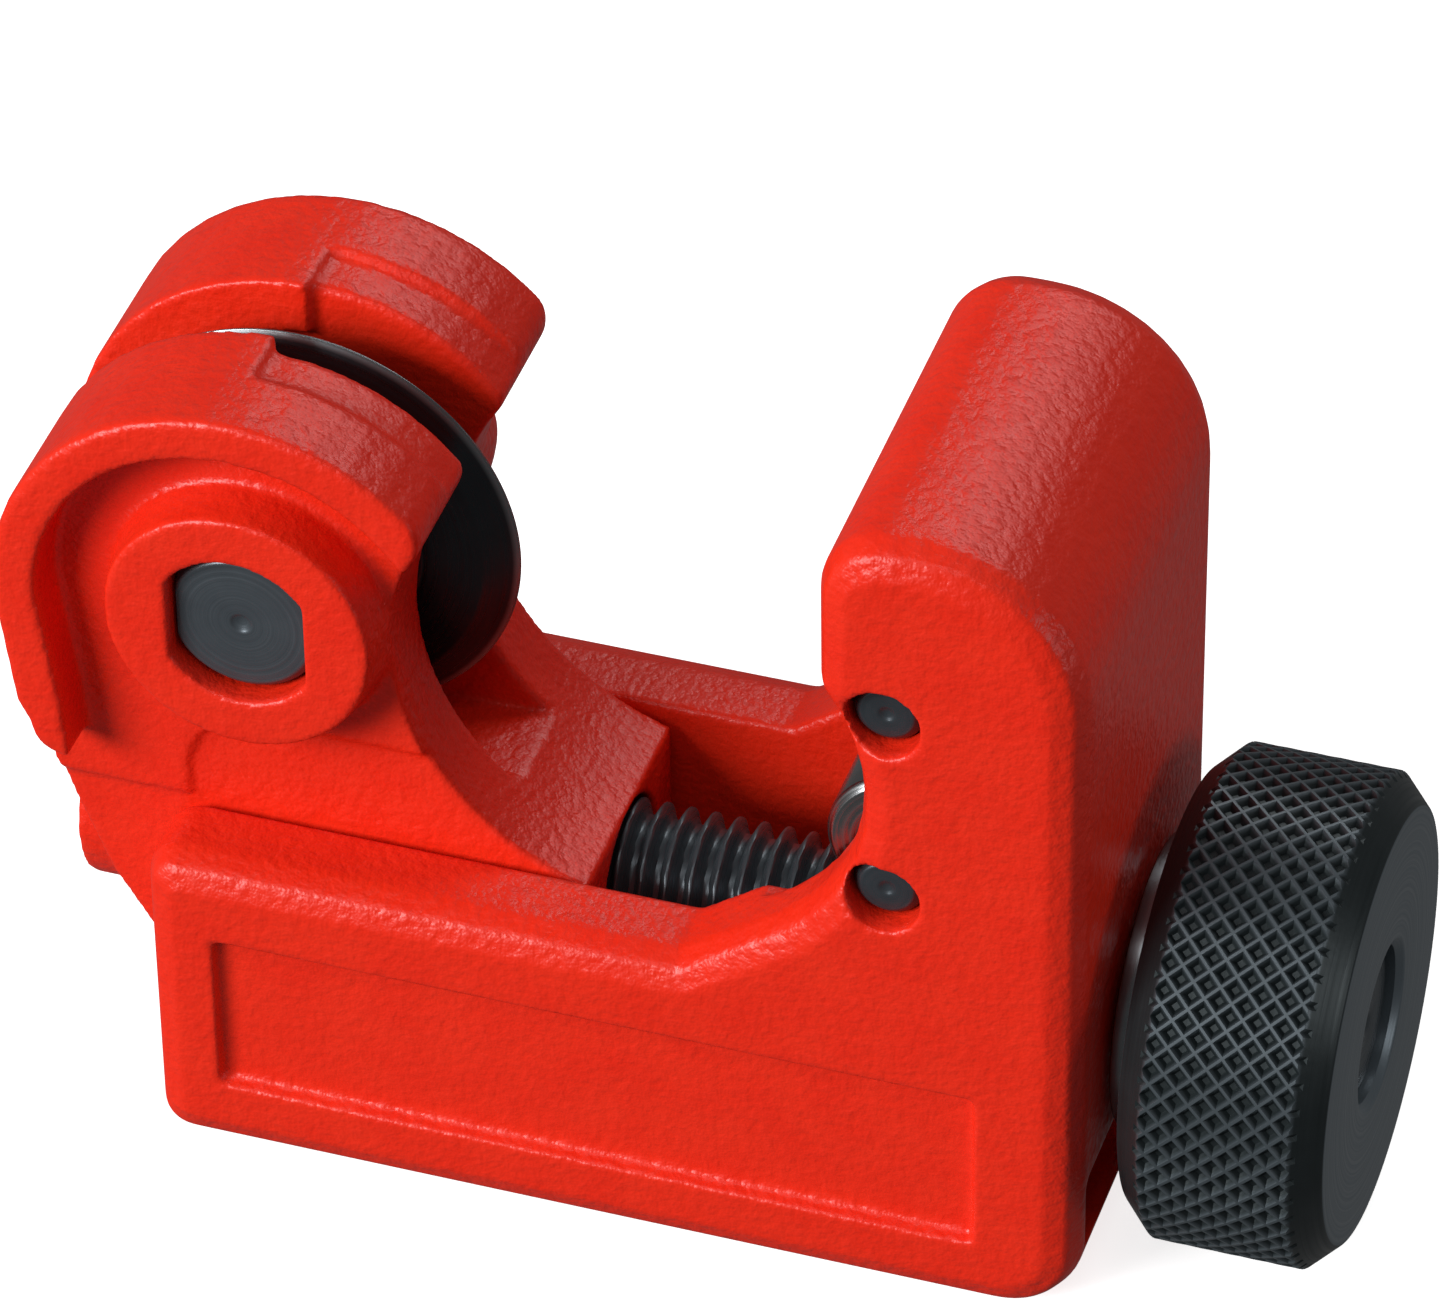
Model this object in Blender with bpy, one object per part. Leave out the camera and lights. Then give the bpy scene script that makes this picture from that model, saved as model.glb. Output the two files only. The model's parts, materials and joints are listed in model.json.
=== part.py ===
"""Screw-feed cutter for small copper tube, modelled in metres with +Z up.

The tube lies along Y in the jaw. The body casting holds two rollers on the +X side of the
tube, the carriage casting carries the cutting wheel on the -X side, and the feed screw with
its knurled knob pulls the carriage along X. The origin is the centre of the base's underside,
straight below the axis of the largest tube.
"""

import math

import bmesh
import bpy
from mathutils import Matrix, Vector

MM = 0.001

# ---------------------------------------------------------------- driving dimensions
TUBE_DIA = 15.0 * MM            # outside diameter of the tube that the jaw is open for at rest
TUBE_HEIGHT = 24.0 * MM         # tube axis above the base's underside
JAW_MARGIN = 1.3 * MM           # space between that tube and the jaw's round floor
TRAVEL_CLOSE = 14.0 * MM        # how far the carriage can close from rest

RUN_GAP = 0.1 * MM              # radial gap of everything that turns on a pin or axle
SLIDE_GAP = 0.3 * MM            # gap of everything that slides or lies face to face

BODY_WIDTH = 18.6 * MM
BASE_REACH = 20.3 * MM          # tube axis to the base's open end
BASE_TOP = 14.3 * MM
BASE_END_RADIUS = 1.5 * MM
BASE_KNOB_RADIUS = 3.2 * MM     # lower corner at the knob's side
BLOCK_BACK = 7.75 * MM          # roller axis to the knob-side face
BLOCK_RISE = 8.2 * MM           # upper roller axis to the top of the block
BLOCK_SHOULDER_RADIUS = 6.5 * MM
NOSE_RADIUS = 3.0 * MM
BODY_EDGE = 1.3 * MM            # rounding of the casting's front and rear edges
SIDE_WALL = 3.8 * MM            # body wall beside the carriage channel
ROLLER_WALL = 2.9 * MM          # body wall outside each roller end
END_WALL = 4.0 * MM             # body wall that the feed screw turns in
BASE_FLOOR = 2.5 * MM
FOOT_LIP = 1.9 * MM             # how far the guide foot reaches out under each wall

PANEL_DEPTH = 0.6 * MM
PANEL_MARGIN_LEFT = 2.9 * MM
PANEL_MARGIN_RIGHT = 4.1 * MM
PANEL_LOW = 3.3 * MM
PANEL_HIGH = 10.6 * MM

ROLLER_DIA = 6.4 * MM
ROLLER_SPACING = 8.46 * MM      # between the two roller axes
ROLLER_PROUD = 0.5 * MM         # how far the rollers stand out of the block's nose
ROLLER_POCKET_GAP = 0.4 * MM
ROLLER_GROOVE_WIDTH = 1.6 * MM
ROLLER_GROOVE_DEPTH = 0.6 * MM
PIN_DIA = 2.8 * MM
PIN_RECESS = 0.8 * MM
PIN_CHAMFER = 0.35 * MM

WHEEL_DIA = 17.8 * MM
WHEEL_RISE = 0.95 * MM          # wheel axis above the tube axis
WHEEL_HUB_DIA = 9.6 * MM
WHEEL_HUB_WIDTH = 3.6 * MM
WHEEL_WEB_WIDTH = 2.0 * MM
WHEEL_BEVEL = 1.3 * MM          # radial depth of the sharpened edge
WHEEL_CLEARANCE = 0.35 * MM
RIM_SLOT_WIDTH = 3.2 * MM       # slot beside the wheel's thin rim
HUB_WELL_DIA = 15.2 * MM        # wider round well that the wheel's hub turns in
SLOT_FLOOR = math.radians(213)  # where the slot's round floor ends, seen round the wheel axis

AXLE_DIA = 6.3 * MM
AXLE_FLATS = 5.2 * MM           # across the two flats that stop the axle turning
AXLE_FIT = 0.15 * MM
AXLE_RECESS = 0.7 * MM
AXLE_GROOVE_DEPTH = 0.3 * MM    # below the flats

SHROUD_WALL = 0.75 * MM         # casting metal round the wheel's rim
CHEEK_RELIEF = 3.4 * MM         # space between the tube and the cheeks
CHEEK_TIP_RADIUS = 1.5 * MM     # rounding where that space meets the cheek's top
CHEEK_STEP = 0.25 * MM          # the cheeks' outer panels stand proud of the sliding neck
RIM_HEIGHT = 2.15 * MM          # raised rim above the cheek panel
RIM_WIDTH = 1.8 * MM
RIM_END = 7.9 * MM              # rim's lower end below the wheel axis
RIM_END_RADIUS = 1.4 * MM
CROWN_STEP = 0.35 * MM          # depth of the step in the cheeks' tops, above the axle
CROWN_STEP_HALF = 4.2 * MM      # how far that step reaches from the middle plane
BOSS_DIA = 10.7 * MM
BOSS_HEIGHT = 2.1 * MM
CARRIAGE_EDGE = 0.9 * MM
POCKET_TOP = 6.0 * MM           # top of the side clearance below the wheel axis
POCKET_REACH = 3.2 * MM         # its closed side beyond the wheel axis
POCKET_RADIUS = 3.0 * MM

SCREW_DIA = 6.0 * MM
SCREW_HEIGHT = 10.25 * MM
SCREW_TAIL = 24.4 * MM          # tube axis to the screw's free end
SCREW_CHAMFER = 0.5 * MM
SCREW_BORE_GAP = 0.15 * MM
THREAD_BOSS_DIA = 8.4 * MM
THREAD_BOSS_OUT = 1.4 * MM      # how far its end stands in from the cheek's farthest point
NECK_CLEARANCE = 2.0 * MM       # neck to clip when fully closed

CLIP_THICKNESS = 0.6 * MM
CLIP_BAND = 1.65 * MM           # radial width of a retaining clip
CLIP_SEAT = 0.15 * MM           # gap between a clip and its groove's floor
CLIP_PLAY = 0.2 * MM            # gap on each side of a clip in its groove
CLIP_GROOVE_DEPTH = 0.7 * MM
CLIP_OPENING = math.radians(80)

WASHER_DIA = 11.8 * MM
WASHER_THICKNESS = 0.8 * MM
KNOB_DIA = 19.6 * MM
KNOB_LENGTH = 8.1 * MM
KNOB_CHAMFER = 1.2 * MM
KNOB_RECESS = 0.6 * MM          # how far the screw's end is sunk in the knob's bore
KNURL_RIDGES = 58
KNURL_DEPTH = 0.35 * MM

ROUND_STEPS = 48
SMALL_STEPS = 32
ARC_STEP = math.radians(9)

# ---------------------------------------------------------------- sizes worked out from them
TUBE_R = TUBE_DIA / 2
ROLLER_R = ROLLER_DIA / 2
WHEEL_R = WHEEL_DIA / 2
SCREW_R = SCREW_DIA / 2
HALF_WIDTH = BODY_WIDTH / 2

JAW_R = TUBE_R + JAW_MARGIN
ROLLER_X = math.sqrt((TUBE_R + ROLLER_R) ** 2 - (ROLLER_SPACING / 2) ** 2)
ROLLER_HEIGHTS = {
    "upper": TUBE_HEIGHT + ROLLER_SPACING / 2,
    "lower": TUBE_HEIGHT - ROLLER_SPACING / 2,
}
NOSE_X = ROLLER_X - ROLLER_R + ROLLER_PROUD
KNOB_SIDE_X = ROLLER_X + BLOCK_BACK
BLOCK_TOP = ROLLER_HEIGHTS["upper"] + BLOCK_RISE

WHEEL_X = -math.sqrt((TUBE_R + WHEEL_R) ** 2 - WHEEL_RISE**2)
WHEEL_Z = TUBE_HEIGHT + WHEEL_RISE
CHEEK_R = WHEEL_R + WHEEL_CLEARANCE + SHROUD_WALL
CHEEK_LEFT = WHEEL_X - CHEEK_R
RELIEF_R = TUBE_R + CHEEK_RELIEF

CHANNEL_HALF = HALF_WIDTH - SIDE_WALL
NECK_HALF = CHANNEL_HALF - SLIDE_GAP
PANEL_HALF = NECK_HALF + CHEEK_STEP
RIM_HALF = PANEL_HALF + RIM_HEIGHT
BOSS_HALF = PANEL_HALF + BOSS_HEIGHT
WHEEL_SLOT_HALF = WHEEL_HUB_WIDTH / 2 + SLIDE_GAP

CLIP_R = SCREW_R - CLIP_GROOVE_DEPTH + CLIP_SEAT + CLIP_BAND
CHANNEL_REACH = CLIP_R + 0.25 * MM      # channel's floor and ceiling from the screw axis
CHANNEL_FLOOR = SCREW_HEIGHT - CHANNEL_REACH
CHANNEL_CEILING = SCREW_HEIGHT + CHANNEL_REACH
CHANNEL_END = KNOB_SIDE_X - END_WALL
NECK_DROP = TUBE_HEIGHT - CHANNEL_CEILING + SLIDE_GAP
MOUTH_END = TRAVEL_CLOSE - math.sqrt(max(0.0, RELIEF_R**2 - NECK_DROP**2))
CLIP_X = CHANNEL_END - SLIDE_GAP - CLIP_THICKNESS
NECK_END = CLIP_X - TRAVEL_CLOSE - NECK_CLEARANCE
FOOT_END = KNOB_SIDE_X - TRAVEL_CLOSE - SLIDE_GAP
FOOT_START = CHEEK_LEFT + 6.3 * MM

WASHER_X = KNOB_SIDE_X + SLIDE_GAP
KNOB_X = WASHER_X + WASHER_THICKNESS + SLIDE_GAP
KNOB_END = KNOB_X + KNOB_LENGTH
BEYOND = 2.0 * MM                       # how far a cutter runs past the metal it cuts

X_AXIS = Vector((1, 0, 0))
Y_AXIS = Vector((0, 1, 0))


# ---------------------------------------------------------------- small tools
def clear_scene():
    for old in list(bpy.data.objects):
        bpy.data.objects.remove(old, do_unlink=True)


def make_material(name, colour, roughness, metallic):
    material = bpy.data.materials.new(name)
    material.use_nodes = True
    shader = material.node_tree.nodes["Principled BSDF"]
    shader.inputs["Base Color"].default_value = (*colour, 1.0)
    shader.inputs["Roughness"].default_value = roughness
    shader.inputs["Metallic"].default_value = metallic
    material.diffuse_color = (*colour, 1.0)
    return material


def arc(centre, radius, start, end):
    """Points on an arc in the XZ plane, from one angle to another, both ends included."""
    count = max(2, math.ceil(abs(end - start) / ARC_STEP))
    turns = [start + (end - start) * i / count for i in range(count + 1)]
    return [(centre[0] + radius * math.cos(t), centre[1] + radius * math.sin(t)) for t in turns]


def to_object(name, bm, smooth=True):
    bmesh.ops.recalc_face_normals(bm, faces=bm.faces)
    mesh = bpy.data.meshes.new(name)
    bm.to_mesh(mesh)
    bm.free()
    if smooth:
        mesh.shade_smooth()
        mesh.set_sharp_from_angle(angle=math.radians(35))
    made = bpy.data.objects.new(name, mesh)
    bpy.context.scene.collection.objects.link(made)
    return made


def prism(name, outline, y_low, y_high, edge=0.0, edge_steps=2):
    """A solid with an XZ outline, extruded along Y. edge rounds its front and rear outlines."""
    bm = bmesh.new()
    face = bm.faces.new([bm.verts.new((x, y_low, z)) for x, z in outline])
    grown = bmesh.ops.extrude_face_region(bm, geom=[face])["geom"]
    moved = [g for g in grown if isinstance(g, bmesh.types.BMVert)]
    bmesh.ops.translate(bm, verts=moved, vec=(0, y_high - y_low, 0))
    if edge:
        rims = [e for e in bm.edges if abs(e.verts[0].co.y - e.verts[1].co.y) < 1e-7]
        bmesh.ops.bevel(
            bm, geom=rims, offset=edge, segments=edge_steps, profile=0.5, affect="EDGES",
            clamp_overlap=True, material=-1,
        )
    return to_object(name, bm)


def block(name, low, high):
    bm = bmesh.new()
    bmesh.ops.create_cube(bm, size=1.0)
    size = Vector(high) - Vector(low)
    bmesh.ops.scale(bm, verts=bm.verts, vec=size)
    bmesh.ops.translate(bm, verts=bm.verts, vec=(Vector(low) + Vector(high)) / 2)
    return to_object(name, bm, smooth=False)


def turned(name, profile, centre, axis, steps=ROUND_STEPS):
    """A turned solid. profile lists (radius, distance along the axis), and closes on itself
    or on the axis."""
    side = Vector((0, 0, 1))
    bm = bmesh.new()
    verts = [bm.verts.new(centre + side * r + axis * d) for r, d in profile]
    edges = [bm.edges.new((a, b)) for a, b in zip(verts, verts[1:])]
    if min(r for r, _ in profile) > 0:
        edges.append(bm.edges.new((verts[-1], verts[0])))
    bmesh.ops.spin(
        bm, geom=verts + edges, cent=centre, axis=axis, angle=math.tau, steps=steps,
        use_merge=True,
    )
    bmesh.ops.remove_doubles(bm, verts=bm.verts, dist=1e-6)
    return to_object(name, bm)


def rod(name, radius, start, end, centre, axis, steps=ROUND_STEPS):
    return turned(name, [(0, start), (radius, start), (radius, end), (0, end)], centre, axis, steps)


def guide(made):
    made.hide_render = True
    made.display_type = "WIRE"
    return made


def combine(target, tool, operation):
    """Adds a live Boolean to target. The tool itself stays hidden."""
    step = target.modifiers.new(tool.name, "BOOLEAN")
    step.operation = operation
    step.solver = "EXACT"
    step.object = guide(tool)
    return target


def cut(target, *tools):
    for tool in tools:
        combine(target, tool, "DIFFERENCE")


def join(target, *tools):
    for tool in tools:
        combine(target, tool, "UNION")


def put_origin(made, point):
    """Moves an object's origin to a point, leaving its shape where it is."""
    made.data.transform(Matrix.Translation(-Vector(point)))
    made.location = point


# ---------------------------------------------------------------- body and its rollers
def body_outline():
    corner = BASE_END_RADIUS
    left = -BASE_REACH
    shoulder = BLOCK_SHOULDER_RADIUS
    nose_angle = math.acos(NOSE_X / JAW_R)
    jaw_end = math.radians(-60)
    points = arc((left + corner, corner), corner, math.radians(180), math.radians(270))
    points += arc((KNOB_SIDE_X - BASE_KNOB_RADIUS, BASE_KNOB_RADIUS), BASE_KNOB_RADIUS,
                  math.radians(-90), 0)
    points += arc((KNOB_SIDE_X - shoulder, BLOCK_TOP - shoulder), shoulder, 0, math.radians(90))
    points += arc((NOSE_X + NOSE_RADIUS, BLOCK_TOP - NOSE_RADIUS), NOSE_RADIUS,
                  math.radians(90), math.radians(180))
    points += arc((0, TUBE_HEIGHT), JAW_R, nose_angle, jaw_end)
    points += [(TUBE_R * 0.2, BASE_TOP)]
    points += arc((left + corner, BASE_TOP - corner), corner, math.radians(90), math.radians(180))
    return points


def body_casting(material):
    body = prism("body_casting", body_outline(), -HALF_WIDTH, HALF_WIDTH, BODY_EDGE)
    left = -BASE_REACH - BEYOND
    jaw_floor = TUBE_HEIGHT - JAW_R + BODY_EDGE
    foot_half = CHANNEL_HALF + FOOT_LIP
    cut(
        body,
        block("channel_cutter", (left, -CHANNEL_HALF, CHANNEL_FLOOR),
              (CHANNEL_END, CHANNEL_HALF, CHANNEL_CEILING)),
        block("channel_mouth_cutter", (left - BEYOND, -CHANNEL_HALF, SCREW_HEIGHT),
              (MOUTH_END, CHANNEL_HALF, jaw_floor + BODY_EDGE)),
        block("foot_slot_cutter", (left, -foot_half, BASE_FLOOR),
              (KNOB_SIDE_X + BEYOND, foot_half, CHANNEL_FLOOR + SLIDE_GAP / 10)),
        roller_pocket(),
        rod("screw_bore_cutter", SCREW_R + SCREW_BORE_GAP, CHANNEL_END - BEYOND,
            KNOB_SIDE_X + BEYOND, Vector((0, 0, SCREW_HEIGHT)), X_AXIS, SMALL_STEPS),
        block("panel_cutter", (-BASE_REACH + PANEL_MARGIN_LEFT, -HALF_WIDTH - BEYOND, PANEL_LOW),
              (KNOB_SIDE_X - PANEL_MARGIN_RIGHT, -HALF_WIDTH + PANEL_DEPTH, PANEL_HIGH)),
    )
    for place, height in ROLLER_HEIGHTS.items():
        centre = Vector((ROLLER_X, 0, height))
        cut(body, rod(place + "_pin_hole_cutter", PIN_DIA / 2 + RUN_GAP, -HALF_WIDTH - BEYOND,
                      HALF_WIDTH + BEYOND, centre, Y_AXIS, SMALL_STEPS))
    body.data.materials.append(material)
    return body


def roller_pocket():
    """The pocket that holds both rollers, round behind them and open towards the tube."""
    radius = ROLLER_R + ROLLER_POCKET_GAP
    half = HALF_WIDTH - ROLLER_WALL
    low, high = ROLLER_HEIGHTS["lower"], ROLLER_HEIGHTS["upper"]
    outline = [(NOSE_X - 2 * BEYOND, low - radius)]
    outline += arc((ROLLER_X, low), radius, math.radians(-90), 0)
    outline += arc((ROLLER_X, high), radius, 0, math.radians(90))
    outline += [(NOSE_X - 2 * BEYOND, high + radius)]
    return prism("roller_pocket_cutter", outline, -half, half)


def roller(place, height, material):
    half = HALF_WIDTH - ROLLER_WALL - SLIDE_GAP
    bore = PIN_DIA / 2 + RUN_GAP
    lip = 0.3 * MM
    groove = ROLLER_GROOVE_WIDTH / 2
    profile = [
        (bore, -half), (ROLLER_R - lip, -half), (ROLLER_R, -half + lip),
        (ROLLER_R, -groove), (ROLLER_R - ROLLER_GROOVE_DEPTH, 0), (ROLLER_R, groove),
        (ROLLER_R, half - lip), (ROLLER_R - lip, half), (bore, half),
    ]
    centre = Vector((ROLLER_X, 0, height))
    made = turned(place + "_roller", profile, centre, Y_AXIS, SMALL_STEPS)
    put_origin(made, centre)
    made.data.materials.append(material)
    return made


def roller_pin(place, height, material):
    half = HALF_WIDTH - PIN_RECESS
    radius = PIN_DIA / 2
    profile = [
        (0, -half), (radius - PIN_CHAMFER, -half), (radius, -half + PIN_CHAMFER),
        (radius, half - PIN_CHAMFER), (radius - PIN_CHAMFER, half), (0, half),
    ]
    made = turned(place + "_roller_pin", profile, Vector((ROLLER_X, 0, height)), Y_AXIS, SMALL_STEPS)
    made.data.materials.append(material)
    return made


# ---------------------------------------------------------------- carriage and its wheel
def cheek_crown():
    """The cheek's top edge, from its rounded tip beside the tube to its farthest point. The tip's
    arc touches both the cheek's own circle and the round space for the tube."""
    wheel_axis = Vector((WHEEL_X, WHEEL_Z))
    tube_axis = Vector((0, TUBE_HEIGHT))
    between = tube_axis - wheel_axis
    to_wheel = CHEEK_R - CHEEK_TIP_RADIUS
    to_tube = RELIEF_R + CHEEK_TIP_RADIUS
    along = (to_wheel**2 - to_tube**2 + between.length_squared) / (2 * between.length)
    across = math.sqrt(to_wheel**2 - along**2)
    forward = between.normalized()
    tip = wheel_axis + forward * along + Vector((-forward.y, forward.x)) * across
    inward = (tube_axis - tip).normalized()
    outward = (tip - wheel_axis).normalized()
    tip_start = math.atan2(inward.y, inward.x)
    tip_end = math.atan2(outward.y, outward.x)
    points = [tuple(tip + inward * 2 * CHEEK_TIP_RADIUS)]
    points += arc(tip, CHEEK_TIP_RADIUS, tip_start, tip_end)
    points += arc(wheel_axis, CHEEK_R, tip_end, math.radians(180))[1:]
    return points


def cheek_outline():
    """Side view of the whole carriage between its foot and the top of the wheel guard."""
    left = CHEEK_LEFT
    points = cheek_crown()
    points += [
        (left + 0.7 * MM, WHEEL_Z - 5.5 * MM),
        (left + 1.2 * MM, WHEEL_Z - 9.8 * MM),
        (left + 1.8 * MM, SCREW_HEIGHT + 3.0 * MM),
        (left + 3.2 * MM, SCREW_HEIGHT - 0.6 * MM),
        (left + 4.8 * MM, SCREW_HEIGHT - 3.2 * MM),
        (FOOT_START, CHANNEL_FLOOR - SLIDE_GAP),
        (NECK_END, CHANNEL_FLOOR - SLIDE_GAP),
        (NECK_END, TUBE_HEIGHT - TUBE_R),
    ]
    return points


def rim_outline():
    """Outer edge of the raised rim, over the top of the wheel guard and down its far side."""
    left = CHEEK_LEFT
    end = WHEEL_Z - RIM_END
    radius = RIM_END_RADIUS
    inner = left + 1.2 * MM + radius
    points = cheek_crown()
    points += [(left + 0.7 * MM, WHEEL_Z - 5.5 * MM)]
    points += arc((inner, end + radius), radius, math.radians(180), math.radians(270))
    points += [(inner + 0.5 * MM, end), (inner + 0.5 * MM, WHEEL_Z - 4.0 * MM)]
    points += [(WHEEL_X, WHEEL_Z - 4.0 * MM)]
    return points


def rim_recess(side):
    """What is milled out inside the rim on one cheek, down to the cheek panel."""
    inner = CHEEK_R - RIM_WIDTH
    left = CHEEK_LEFT + RIM_WIDTH
    points = arc((WHEEL_X, WHEEL_Z), inner, math.radians(-30), math.radians(180))
    points += [
        (left + 0.8 * MM, WHEEL_Z - 5.5 * MM),
        (left + 1.1 * MM, WHEEL_Z - RIM_END - BEYOND),
        (WHEEL_X + inner, WHEEL_Z - RIM_END - BEYOND),
    ]
    y_values = sorted((side * PANEL_HALF, side * (RIM_HALF + BEYOND)))
    word = "front" if side < 0 else "rear"
    return prism(word + "_recess_cutter", points, *y_values)


def side_pocket(side):
    """Thins one cheek to the neck's width where it passes the body's side wall."""
    top = WHEEL_Z - POCKET_TOP
    left = WHEEL_X - POCKET_REACH
    points = [(0, top)]
    points += arc((left + POCKET_RADIUS, top - POCKET_RADIUS), POCKET_RADIUS,
                  math.radians(90), math.radians(180))
    points += [(left, BASE_TOP + SLIDE_GAP), (CHEEK_LEFT - BEYOND, BASE_TOP + SLIDE_GAP)]
    points += [(CHEEK_LEFT - BEYOND, -BEYOND), (0, -BEYOND)]
    y_values = sorted((side * NECK_HALF, side * (RIM_HALF + BEYOND)))
    word = "front" if side < 0 else "rear"
    return prism(word + "_pocket_cutter", points, *y_values)


def crown_step():
    """The shallow step in both cheeks' tops, from above the axle to the tube's side."""
    centre = (WHEEL_X, WHEEL_Z)
    low, high = math.radians(-30), math.radians(90)
    points = arc(centre, CHEEK_R + BEYOND, low, high)
    points += arc(centre, CHEEK_R - CROWN_STEP, high, low)
    return prism("crown_step_cutter", points, -CROWN_STEP_HALF, CROWN_STEP_HALF)


def rim_slot():
    """The slot for the wheel's rim, open all round but for its round floor."""
    radius = WHEEL_R + WHEEL_CLEARANCE
    high = WHEEL_Z + CHEEK_R + BEYOND
    left = CHEEK_LEFT - BEYOND
    points = [(0, high), (left, high), (left, WHEEL_Z + radius * math.sin(SLOT_FLOOR))]
    points += arc((WHEEL_X, WHEEL_Z), radius, SLOT_FLOOR, math.radians(270))
    points += [(0, WHEEL_Z - radius)]
    return prism("rim_slot_cutter", points, -RIM_SLOT_WIDTH / 2, RIM_SLOT_WIDTH / 2)


def hub_slot():
    """The wider slot that the wheel's hub goes in by, from the tube's side to the wheel axis."""
    low = WHEEL_Z - WHEEL_R - WHEEL_CLEARANCE
    high = WHEEL_Z + CHEEK_R + BEYOND
    return block("hub_slot_cutter", (WHEEL_X, -WHEEL_SLOT_HALF, low), (0, WHEEL_SLOT_HALF, high))


def flatted_rod(name, radius, flats, y_low, y_high):
    """A round bar along Y on the wheel axis, with a flat on each of its X sides."""
    lean = math.acos(min(1.0, flats / 2 / radius))
    centre = (WHEEL_X, WHEEL_Z)
    outline = arc(centre, radius, lean, math.pi - lean)
    outline += arc(centre, radius, math.pi + lean, math.tau - lean)
    return prism(name, outline, y_low, y_high)


def carriage_casting(material):
    wheel_axis = Vector((WHEEL_X, 0, WHEEL_Z))
    screw_axis = Vector((0, 0, SCREW_HEIGHT))
    foot_half = CHANNEL_HALF + FOOT_LIP - SLIDE_GAP
    boss_foot = BOSS_DIA / 2 + 0.35 * MM
    carriage = prism("carriage_casting", cheek_outline(), -PANEL_HALF, PANEL_HALF)
    rim = prism("rim_former", rim_outline(), -RIM_HALF, RIM_HALF, CARRIAGE_EDGE)
    boss_profile = [
        (0, -BOSS_HALF), (BOSS_DIA / 2, -BOSS_HALF), (boss_foot, -PANEL_HALF + CHEEK_STEP),
        (boss_foot, PANEL_HALF - CHEEK_STEP), (BOSS_DIA / 2, BOSS_HALF), (0, BOSS_HALF),
    ]
    join(carriage, rim)
    cut(carriage, rim_recess(-1), rim_recess(1), side_pocket(-1), side_pocket(1))
    thread_boss_r = min(THREAD_BOSS_DIA / 2, NECK_HALF - 0.1 * MM)
    join(
        carriage,
        turned("boss_former", boss_profile, wheel_axis, Y_AXIS),
        rod("thread_boss_former", thread_boss_r, CHEEK_LEFT + THREAD_BOSS_OUT,
            WHEEL_X, screw_axis, X_AXIS, SMALL_STEPS),
        block("foot_former", (FOOT_START, -foot_half, BASE_FLOOR + SLIDE_GAP),
              (FOOT_END, foot_half, CHANNEL_FLOOR - SLIDE_GAP + 0.01 * MM)),
    )
    clip_well = AXLE_DIA / 2 + CLIP_BAND
    cut(
        carriage,
        rod("tube_relief_cutter", RELIEF_R, -HALF_WIDTH, HALF_WIDTH,
            Vector((0, 0, TUBE_HEIGHT)), Y_AXIS, 2 * ROUND_STEPS),
        crown_step(),
        rim_slot(),
        hub_slot(),
        rod("hub_well_cutter", HUB_WELL_DIA / 2, -WHEEL_SLOT_HALF, WHEEL_SLOT_HALF,
            wheel_axis, Y_AXIS),
        flatted_rod("axle_hole_cutter", AXLE_DIA / 2 + AXLE_FIT, AXLE_FLATS + 2 * AXLE_FIT,
                    -HALF_WIDTH, HALF_WIDTH),
        rod("clip_well_cutter", clip_well, axle_clip_start() - CLIP_PLAY, HALF_WIDTH,
            wheel_axis, Y_AXIS, SMALL_STEPS),
        rod("thread_bore_cutter", SCREW_R + SCREW_BORE_GAP, CHEEK_LEFT - BEYOND, 0,
            screw_axis, X_AXIS, SMALL_STEPS),
    )
    put_origin(carriage, (WHEEL_X, 0, SCREW_HEIGHT))
    carriage.data.materials.append(material)
    return carriage


def axle_clip_start():
    """Inner face of the axle's retaining clip, sunk into the rear boss."""
    return BOSS_HALF - CLIP_THICKNESS - 0.5 * MM


def cutting_wheel(material):
    bore = AXLE_DIA / 2 + RUN_GAP
    hub = WHEEL_HUB_DIA / 2
    hub_half = WHEEL_HUB_WIDTH / 2
    web_half = WHEEL_WEB_WIDTH / 2
    shoulder = WHEEL_R - WHEEL_BEVEL
    tip = 0.05 * MM
    step = 0.4 * MM
    profile = [
        (bore, -hub_half), (hub, -hub_half), (hub + step, -web_half), (shoulder, -0.7 * web_half),
        (WHEEL_R, -tip), (WHEEL_R, tip),
        (shoulder, 0.7 * web_half), (hub + step, web_half), (hub, hub_half), (bore, hub_half),
    ]
    centre = Vector((WHEEL_X, 0, WHEEL_Z))
    wheel = turned("cutting_wheel", profile, centre, Y_AXIS)
    put_origin(wheel, centre)
    wheel.data.materials.append(material)
    return wheel


def wheel_axle(material):
    clip_start = axle_clip_start()
    groove_r = AXLE_FLATS / 2 - AXLE_GROOVE_DEPTH
    centre = Vector((WHEEL_X, 0, WHEEL_Z))
    axle = flatted_rod("wheel_axle", AXLE_DIA / 2, AXLE_FLATS, -BOSS_HALF + AXLE_RECESS,
                       BOSS_HALF - 0.1 * MM)
    low, high = clip_start - CLIP_PLAY, clip_start + CLIP_THICKNESS + CLIP_PLAY
    ring = [(groove_r, low), (AXLE_DIA, low), (AXLE_DIA, high), (groove_r, high)]
    cut(axle, turned("axle_groove_cutter", ring, centre, Y_AXIS, SMALL_STEPS))
    axle.data.materials.append(material)
    return axle


def open_ring(name, inner, outer, start, thickness, centre, axis):
    """A C-shaped clip, its opening pointing down."""
    sweep = math.tau - CLIP_OPENING
    first = -math.pi / 2 + CLIP_OPENING / 2
    outline = arc((0, 0), outer, first, first + sweep)
    outline += arc((0, 0), inner, first + sweep, first)
    made = prism(name, outline, start, start + thickness)
    if axis == X_AXIS:
        made.data.transform(Matrix.Rotation(math.radians(-90), 4, "Z"))
    made.data.transform(Matrix.Translation(centre))
    return made


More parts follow.
